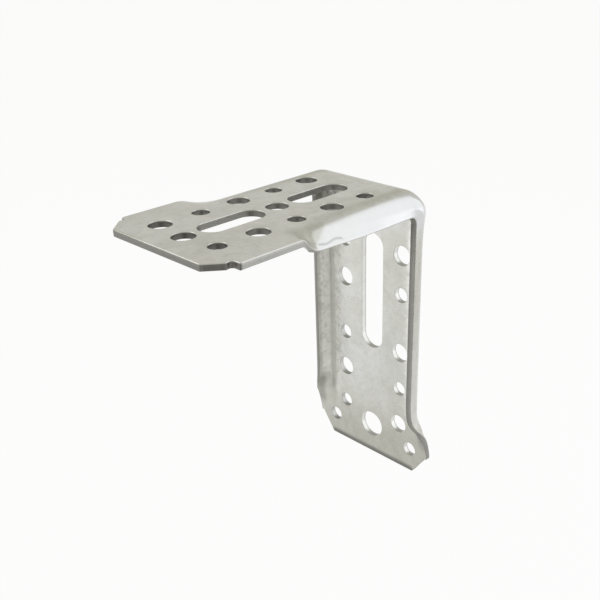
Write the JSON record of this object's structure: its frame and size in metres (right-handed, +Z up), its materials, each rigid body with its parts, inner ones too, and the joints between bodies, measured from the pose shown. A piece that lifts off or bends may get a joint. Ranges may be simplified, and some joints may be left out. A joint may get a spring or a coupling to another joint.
{
  "type": "angle bracket",
  "caption": "Pressed sheet steel angle bracket with folded side edges, round screw holes and slots in both legs.",
  "frame": {"origin": "centre of the anchor hole where it opens on the wall face of the upright leg", "axes": "+X out from the wall along the level leg, +Z up, +Y to the right of the bracket seen from the wall"},
  "size_m": [0.0833, 0.0502, 0.102],
  "materials": {
    "galvanised": "satin, hot-dip galvanised sheet"
  },
  "bodies": {
    "root": {"bracket": "galvanised"}
  },
  "joints": []
}
